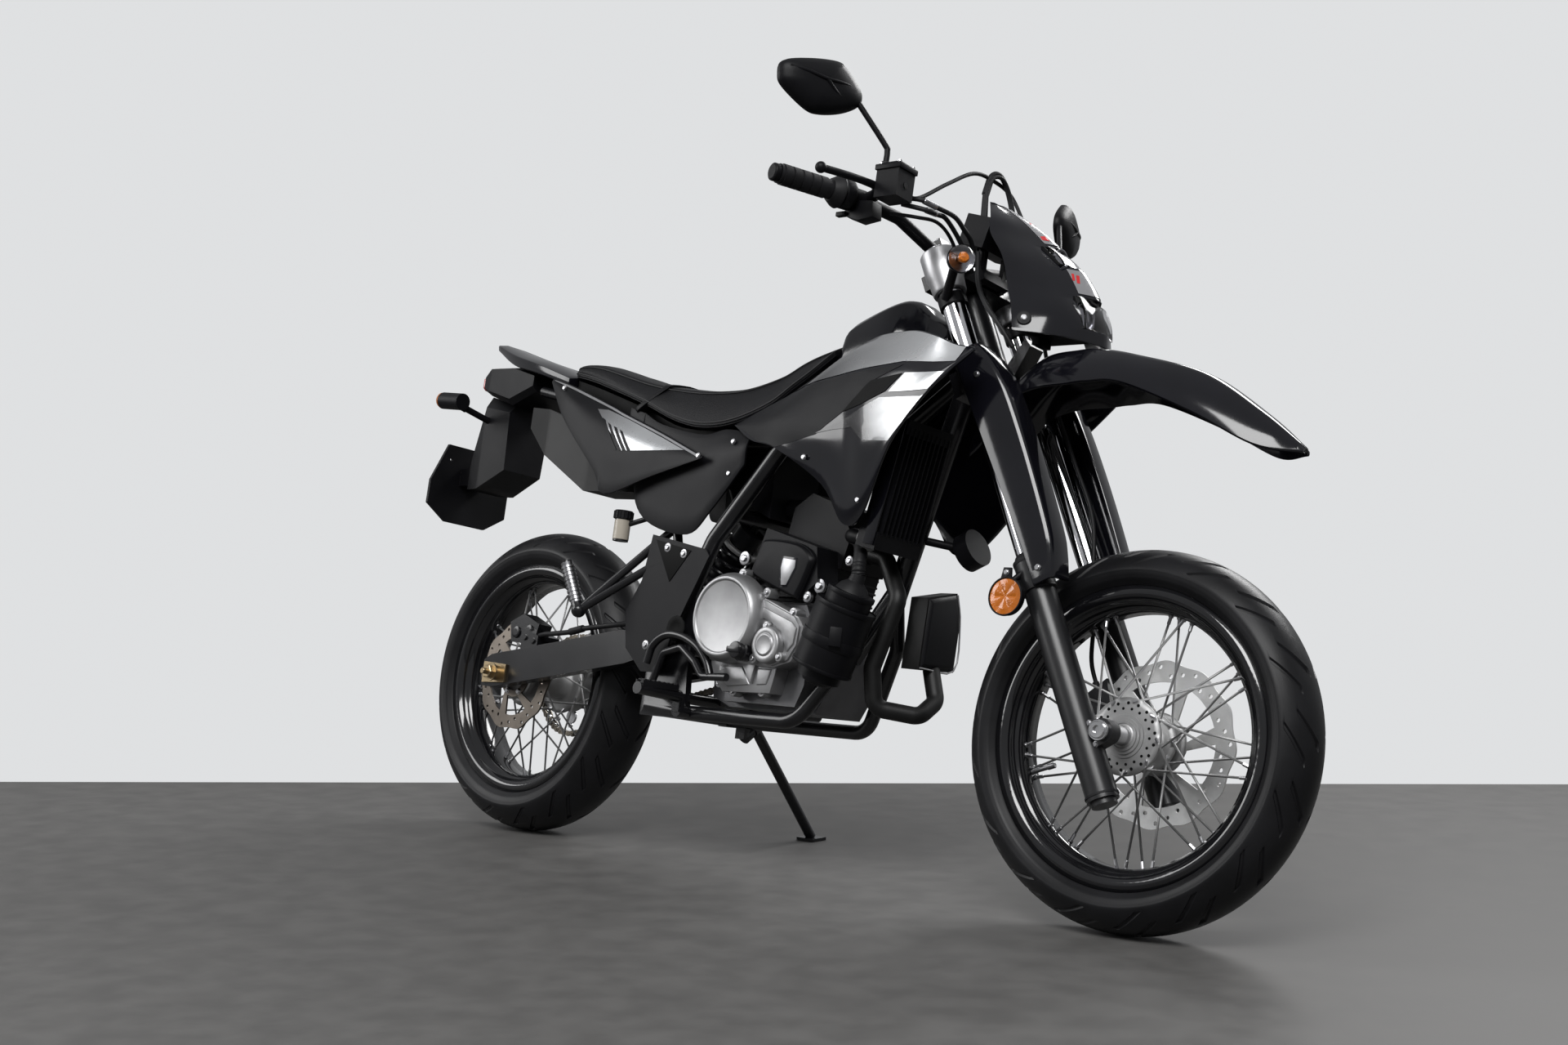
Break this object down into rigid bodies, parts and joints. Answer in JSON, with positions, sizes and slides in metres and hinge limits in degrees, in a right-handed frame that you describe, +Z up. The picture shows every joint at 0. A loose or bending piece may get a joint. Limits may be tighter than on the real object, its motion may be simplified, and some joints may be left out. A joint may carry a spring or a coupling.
{
  "type": "supermoto motorcycle",
  "caption": "Supermoto motorcycle leaning on its side stand, with spoked wheels, a telescopic fork, an open engine, a flat seat and slim bodywork.",
  "frame": {"origin": "centre of the bounding box's base, on the floor that the parked motorcycle stands on", "axes": "+X forward, +Y to the rider's left, +Z up; the motorcycle leans to its left"},
  "size_m": [2.0794, 0.8914, 1.3821],
  "materials": {
    "gloss_black": "gloss",
    "satin_black": "satin",
    "frame_black": "satin",
    "rim_black": "gloss",
    "engine_silver": "satin",
    "steel": "satin",
    "chrome": "polished",
    "tyre": "matte",
    "rubber": "matte",
    "seat_vinyl": "grained",
    "lamp_lens": "clear",
    "amber_lens": "gloss",
    "rear_lens": "gloss"
  },
  "bodies": {
    "chassis": {"frame": "frame_black", "swingarm": "frame_black", "swingarm_pivot": "steel", "rear_axle": "steel", "chain_drive": "steel", "crankcase": "engine_silver", "clutch_cover": "engine_silver", "cylinder": "satin_black", "airbox": "satin_black", "canister": "satin_black", "exhaust": "frame_black", "silencer": "frame_black", "radiator": "satin_black", "horn": "satin_black", "tank_cover": "gloss_black", "shrouds": "gloss_black", "seat": "seat_vinyl", "side_covers": "gloss_black", "side_panels": "satin_black", "tail_cowl": "gloss_black", "rear_lamps": "rear_lens", "plate_holder": "satin_black", "shock": "frame_black", "rear_brake": "frame_black", "frame_guards": "satin_black", "footpegs": "steel", "foot_levers": "steel"},
    "steering": {"front_axle": "steel", "fork_sliders": "frame_black", "fork_stanchions": "chrome", "fork_clamps": "frame_black", "handlebar": "frame_black", "grips": "rubber", "bar_controls": "satin_black", "mirrors": "satin_black", "front_cowl": "gloss_black", "headlamps": "lamp_lens", "instrument": "satin_black", "front_indicators": "satin_black", "front_fender": "gloss_black", "fork_guards": "gloss_black", "front_caliper": "frame_black", "front_reflector": "amber_lens", "front_brake_hose": "rubber"},
    "front_wheel": {"front_tyre": "tyre", "front_rim": "rim_black", "front_hub": "steel", "front_disc": "steel"},
    "rear_wheel": {"rear_tyre": "tyre", "rear_rim": "rim_black", "rear_hub": "steel", "rear_disc": "steel", "rear_sprocket": "steel"},
    "side_stand": {"side_stand": "frame_black"}
  },
  "joints": [
    {"name": "steering_axis", "type": "hinge", "parent": "chassis", "child": "steering", "pos_m": [0.35746, -0.06076, 0.93396], "axis": [-0.4457, 0.1604, 0.8807], "range_deg": [-41.08, 34.92]},
    {"name": "front_wheel_spin", "type": "hinge", "parent": "steering", "child": "front_wheel", "pos_m": [0.74501, -0.17496, 0.29013], "axis": [-0.0481, 0.9781, -0.2024], "continuous": true},
    {"name": "rear_wheel_spin", "type": "hinge", "parent": "chassis", "child": "rear_wheel", "pos_m": [-0.67991, -0.17596, 0.30128], "axis": [0, 0.9838, -0.1791], "continuous": true},
    {"name": "side_stand_fold", "type": "hinge", "parent": "chassis", "child": "side_stand", "pos_m": [-0.20194, -0.04965, 0.23025], "axis": [0.0422, 0.8522, 0.5215], "range_deg": [0, 89.21]}
  ]
}
